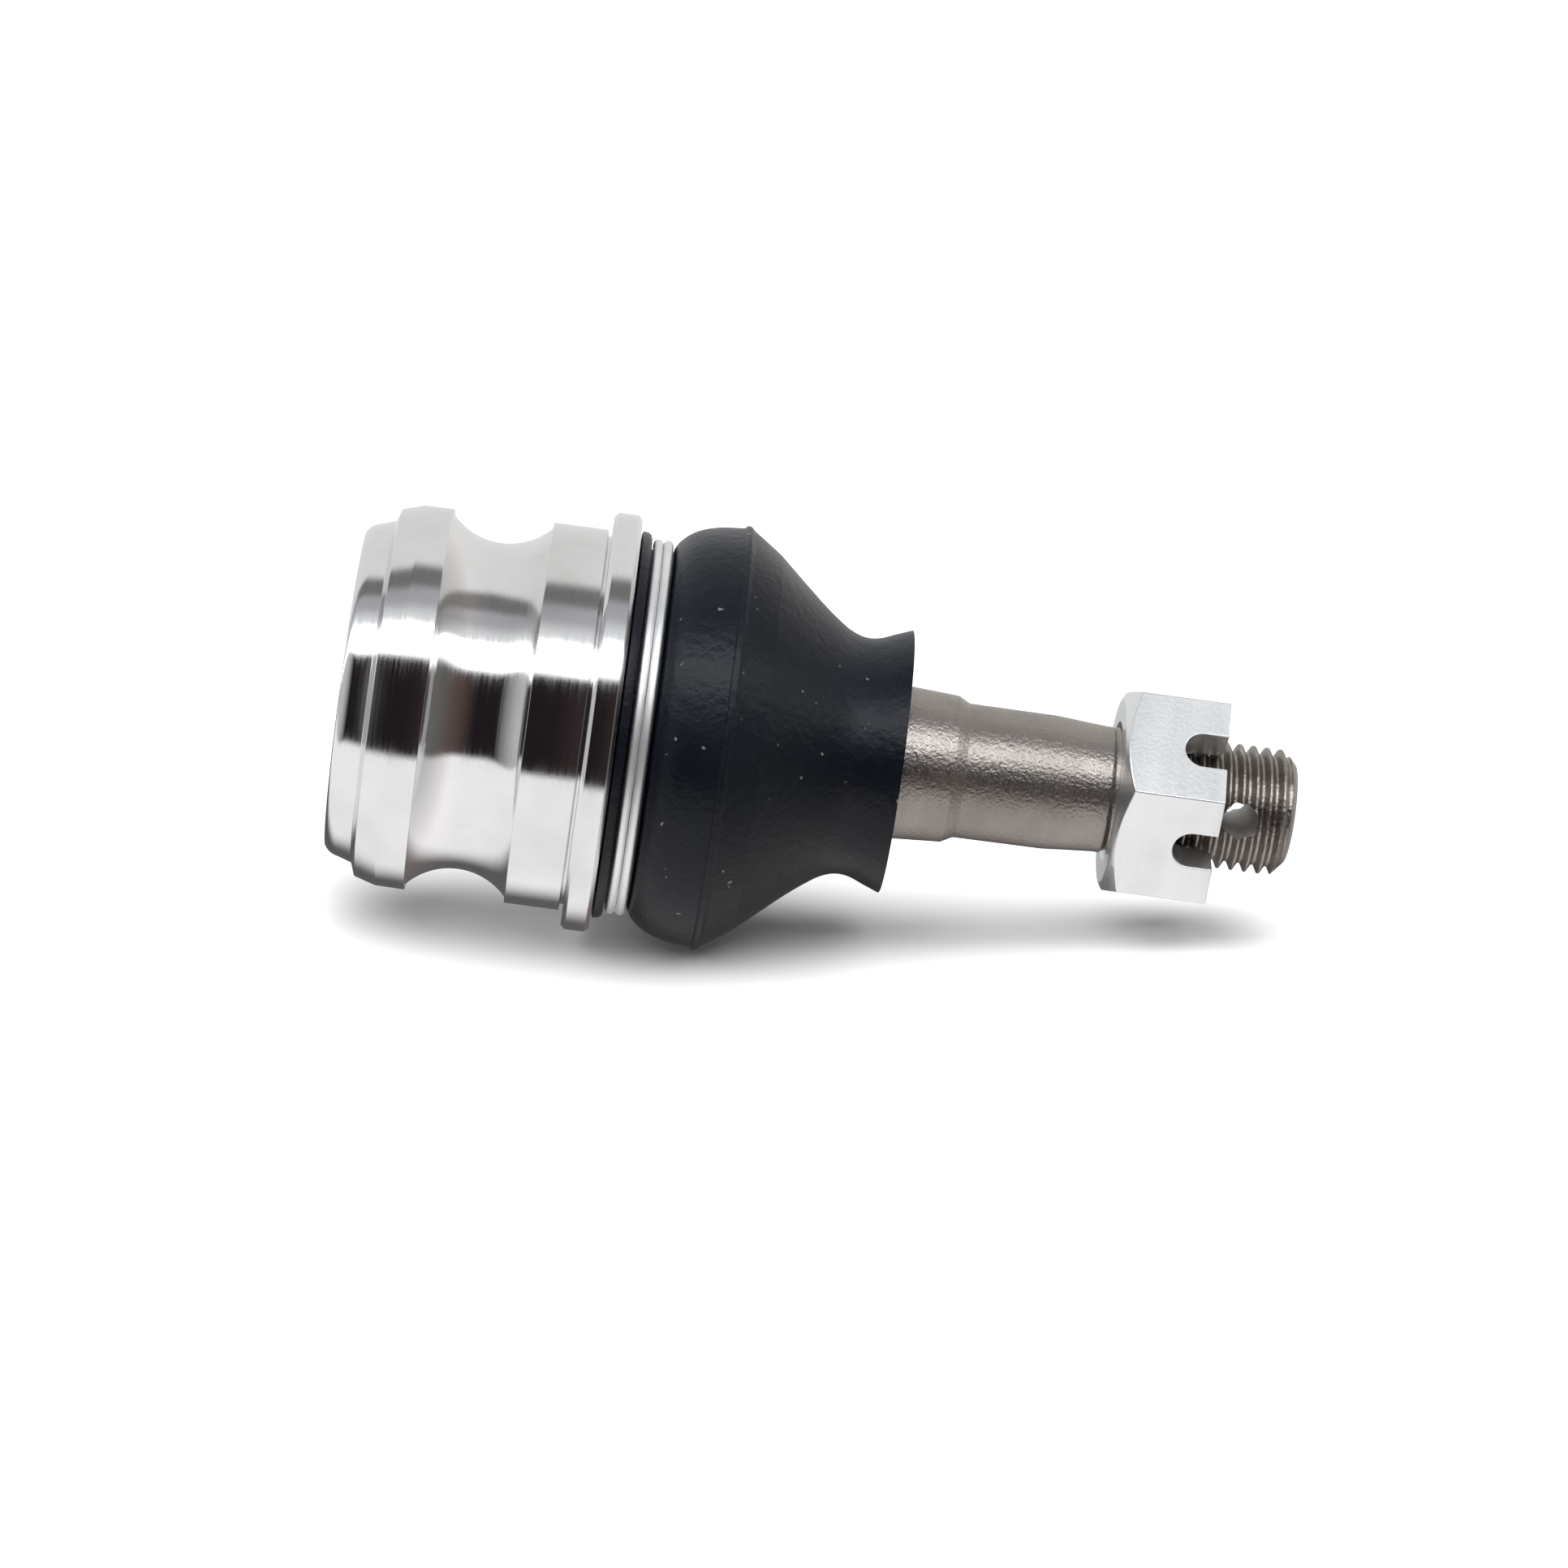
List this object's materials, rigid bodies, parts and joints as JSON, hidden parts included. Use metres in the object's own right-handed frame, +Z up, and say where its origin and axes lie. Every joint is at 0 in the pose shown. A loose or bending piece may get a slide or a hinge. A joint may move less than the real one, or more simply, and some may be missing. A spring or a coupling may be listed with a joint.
{
  "type": "clamped lower ball joint",
  "caption": "Suspension ball joint: a turned socket pinched by a knuckle, a tapered ball stud with a castle nut, and a sealing boot.",
  "frame": {"origin": "centre of the end cover's outer face, on the joint's axis", "axes": "+X along the axis from the closed end of the socket towards the thread, +Z up as the part lies on its side, +Y away from a viewer who has the thread on the right"},
  "size_m": [0.1044, 0.047, 0.047],
  "materials": {
    "turned_steel": "bright turned, with fine ring marks",
    "pressed_steel": "pressed sheet, semi-bright",
    "spring_steel": "dark, oiled",
    "seat_polymer": "natural moulded polymer",
    "zinc_wire": "bright zinc-plated wire",
    "boot_rubber": "satin black moulded rubber",
    "ring_polymer": "black moulded polymer",
    "phosphated_steel": "warm grey phosphate over turned steel",
    "zinc_nut": "bright zinc plate"
  },
  "bodies": {
    "housing": {"socket_housing": "turned_steel", "end_cover": "pressed_steel", "preload_washer": "spring_steel", "lower_seat": "seat_polymer", "upper_seat": "seat_polymer", "boot_retaining_ring": "zinc_wire"},
    "boot": {"dust_boot": "boot_rubber"},
    "boot_neck": {"boot_neck_ring": "ring_polymer"},
    "stud": {"ball_stud": "phosphated_steel"},
    "nut": {"castle_nut": "zinc_nut"}
  },
  "joints": [
    {"name": "swing_up", "type": "hinge", "parent": "housing", "child": "boot", "pos_m": [0.017, 0, 0], "axis": [0, -1, 0], "range_deg": [-20, 20], "deforming": ["dust_boot"]},
    {"name": "swing_side", "type": "hinge", "parent": "boot", "child": "boot_neck", "pos_m": [0.017, 0, 0], "axis": [0, 0, 1], "range_deg": [-20, 20], "deforming": ["dust_boot"]},
    {"name": "stud_spin", "type": "hinge", "parent": "boot_neck", "child": "stud", "pos_m": [0.017, 0, 0], "axis": [1, 0, 0], "continuous": true},
    {"name": "nut_turn", "type": "hinge", "parent": "stud", "child": "nut", "pos_m": [0.0891, 0, 0], "axis": [1, 0, 0], "range_deg": [-15.5, 44.5]}
  ]
}
